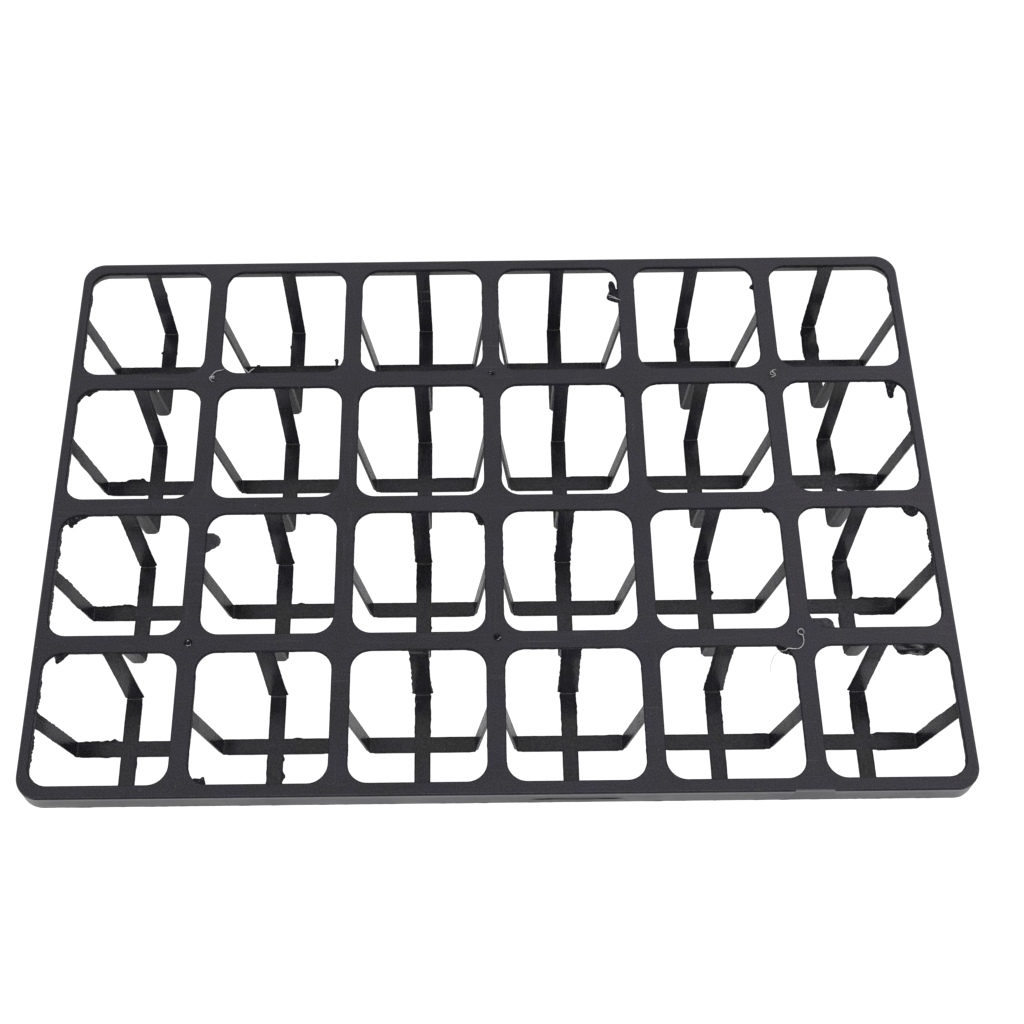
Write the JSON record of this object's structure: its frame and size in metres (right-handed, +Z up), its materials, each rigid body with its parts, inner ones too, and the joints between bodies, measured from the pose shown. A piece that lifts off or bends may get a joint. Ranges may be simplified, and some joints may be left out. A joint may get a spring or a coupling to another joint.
{
  "type": "plug tray",
  "caption": "Flat black moulded nursery tray: a grid of square openings, an open strap cage under each to hold a pot, and a short skirt round the rim.",
  "frame": {"origin": "under the middle of the tray, on the plane that the cage floors stand on", "axes": "+X along the long side, +Y towards the back long side, +Z up out of the cells"},
  "size_m": [0.4514, 0.3034, 0.0542],
  "materials": {
    "moulded_plastic": "black recycled polypropylene, satin, fine flow marks and scuffs"
  },
  "bodies": {
    "root": {"deck_grid": "moulded_plastic", "rim_skirt": "moulded_plastic", "gate_stubs": "moulded_plastic", "cell_cage_r1_c1": "moulded_plastic", "cell_cage_r1_c2": "moulded_plastic", "cell_cage_r1_c3": "moulded_plastic", "cell_cage_r1_c4": "moulded_plastic", "cell_cage_r1_c5": "moulded_plastic", "cell_cage_r1_c6": "moulded_plastic", "cell_cage_r2_c1": "moulded_plastic", "cell_cage_r2_c2": "moulded_plastic", "cell_cage_r2_c3": "moulded_plastic", "cell_cage_r2_c4": "moulded_plastic", "cell_cage_r2_c5": "moulded_plastic", "cell_cage_r2_c6": "moulded_plastic", "cell_cage_r3_c1": "moulded_plastic", "cell_cage_r3_c2": "moulded_plastic", "cell_cage_r3_c3": "moulded_plastic", "cell_cage_r3_c4": "moulded_plastic", "cell_cage_r3_c5": "moulded_plastic", "cell_cage_r3_c6": "moulded_plastic", "cell_cage_r4_c1": "moulded_plastic", "cell_cage_r4_c2": "moulded_plastic", "cell_cage_r4_c3": "moulded_plastic", "cell_cage_r4_c4": "moulded_plastic", "cell_cage_r4_c5": "moulded_plastic", "cell_cage_r4_c6": "moulded_plastic"}
  },
  "joints": []
}
